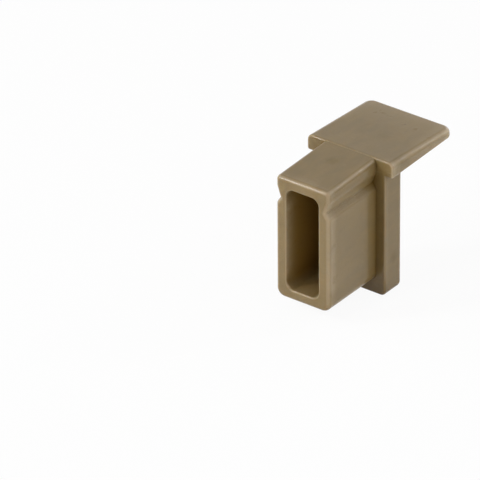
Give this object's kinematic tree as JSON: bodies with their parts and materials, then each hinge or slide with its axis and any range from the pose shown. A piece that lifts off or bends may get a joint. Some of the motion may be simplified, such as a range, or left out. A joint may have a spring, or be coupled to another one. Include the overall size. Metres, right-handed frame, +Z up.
{
  "type": "profile end cap",
  "caption": "Moulded end cap: a hollow plug with side snap grooves enters a rectangular profile, a flange closes its mouth and a cover plate reaches outwards on top.",
  "frame": {"origin": "middle of the plug's root, on the seating face of the flange", "axes": "+Z up, towards the cover plate; -Y along the plug into the profile; +Y outwards, the way the cover plate reaches; X across the width, about which the part is mirrored"},
  "size_m": [0.013, 0.0232, 0.0195],
  "materials": {
    "moulding": "satin"
  },
  "bodies": {
    "root": {"end_cap": "moulding"}
  },
  "joints": []
}
